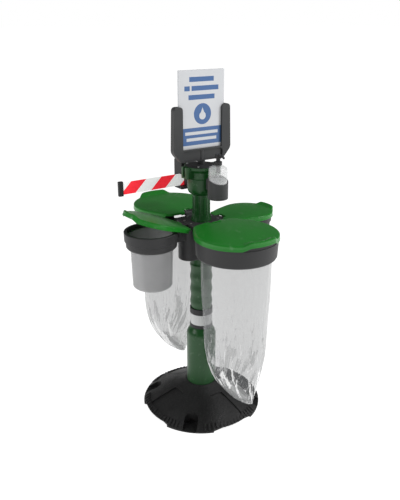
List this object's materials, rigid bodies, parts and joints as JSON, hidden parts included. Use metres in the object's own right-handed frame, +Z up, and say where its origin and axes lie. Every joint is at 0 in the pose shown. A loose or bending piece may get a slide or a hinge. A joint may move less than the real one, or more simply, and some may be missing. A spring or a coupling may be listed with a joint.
{
  "type": "waste and hygiene station",
  "caption": "Free-standing post on a round rubber foot with lidded bag rings and cups round a hub, a pump bottle, a pull-out belt and a sign holder.",
  "frame": {"origin": "on the floor under the post, at the centre of the foot", "axes": "+Z up the post, -Y the way the sign faces, the belt leaves towards -X"},
  "size_m": [0.701, 0.83, 1.458],
  "materials": {
    "black_rubber": "matt recycled rubber",
    "steel": "zinc plated",
    "green_post": "satin moulded polyethylene",
    "green_lid": "satin moulded polyethylene",
    "black_plastic": "fine textured",
    "grey_plastic": "satin",
    "reflective_film": "retroreflective honeycomb film",
    "clear_film": "clear polyethylene film",
    "smoke_plastic": "translucent polypropylene",
    "spring_steel": "bright",
    "belt_webbing": "red and white diagonal stripes",
    "sign_board": "rigid foam board",
    "sign_paper": "printed sheet",
    "clear_bottle": "clear PET",
    "gel": "clear gel"
  },
  "bodies": {
    "station": {"bag_back": "clear_film", "bag_front": "clear_film", "base": "black_rubber", "belt_case": "black_plastic", "belt_case_floor": "black_plastic", "belt_case_lid": "black_plastic", "belt_spring": "spring_steel", "belt_tape": "belt_webbing", "bottle_bracket": "grey_plastic", "bracket_screws": "steel", "cap_screws": "steel", "case_screws": "steel", "clamp_band_back": "black_plastic", "clamp_band_front": "black_plastic", "column_upper": "green_post", "core_nut": "steel", "core_tube": "steel", "cup_left": "smoke_plastic", "cup_right": "smoke_plastic", "deck_screws": "steel", "foot_plate": "steel", "head_barrel": "green_post", "head_cap": "black_plastic", "hinge_pins": "steel", "hub_body": "black_plastic", "hub_deck": "black_plastic", "lower_collar": "black_plastic", "post_corrugated": "green_post", "post_lower": "green_post", "reflective_band": "reflective_film", "ring_back": "black_plastic", "ring_front": "black_plastic", "ring_left": "black_plastic", "ring_right": "black_plastic", "ring_screws": "steel", "spool_shaft": "steel", "upper_collar": "black_plastic"},
    "lid_front": {"lid_front": "green_lid"},
    "lid_back": {"lid_back": "green_lid"},
    "lid_left": {"lid_left": "green_lid"},
    "lid_right": {"lid_right": "green_lid"},
    "spool": {"belt_spool": "black_plastic", "belt_roll": "belt_webbing"},
    "belt_end": {"belt_clip": "black_plastic"},
    "sign_head": {"sign_pole": "grey_plastic", "sign_holder": "grey_plastic"},
    "sign": {"sign_panel": "sign_board", "sign_print": "sign_paper"},
    "bottle": {"bottle": "clear_bottle", "bottle_gel": "gel", "pump_collar": "black_plastic", "dip_tube": "clear_bottle", "pump_spring": "spring_steel"},
    "pump": {"pump_head": "black_plastic"}
  },
  "joints": [
    {"name": "lid_front_hinge", "type": "hinge", "parent": "station", "child": "lid_front", "pos_m": [0, -0.098, 0.868], "axis": [-1, 0, 0], "range_deg": [0, 45]},
    {"name": "lid_back_hinge", "type": "hinge", "parent": "station", "child": "lid_back", "pos_m": [0, 0.098, 0.868], "axis": [1, 0, 0], "range_deg": [0, 45]},
    {"name": "lid_left_hinge", "type": "hinge", "parent": "station", "child": "lid_left", "pos_m": [-0.098, 0, 0.856], "axis": [0, 1, 0], "range_deg": [-18, 42]},
    {"name": "lid_right_hinge", "type": "hinge", "parent": "station", "child": "lid_right", "pos_m": [0.098, 0, 0.856], "axis": [0, -1, 0], "range_deg": [0, 60]},
    {"name": "belt_pull", "type": "slide", "parent": "station", "child": "belt_end", "axis": [1, 0, 0], "range_m": [0, 0.255], "deforming": ["belt_tape"]},
    {"name": "spool_turn", "type": "hinge", "parent": "station", "child": "spool", "pos_m": [0.006, 0.138, 1.011], "axis": [0, 0, 1], "range_deg": [-5, 920], "deforming": ["belt_spring"]},
    {"name": "sign_turn", "type": "hinge", "parent": "station", "child": "sign_head", "pos_m": [0, 0, 1.06], "axis": [0, 0, 1], "range_deg": [-45, 45]},
    {"name": "sign_lift", "type": "slide", "parent": "sign_head", "child": "sign", "axis": [0, 0, 1], "range_m": [0, 0.175]},
    {"name": "bottle_lift", "type": "slide", "parent": "station", "child": "bottle", "axis": [0, 0, 1], "range_m": [0, 0.085]},
    {"name": "pump_press", "type": "slide", "parent": "bottle", "child": "pump", "axis": [0, 0, -1], "range_m": [0, 0.01], "stiffness_N_per_m": 250, "springref_m": -0.01, "deforming": ["pump_spring"]}
  ],
  "couplings": [
    {"joint": "spool_turn", "follows": "belt_pull", "rad_per_m": 62.5}
  ]
}
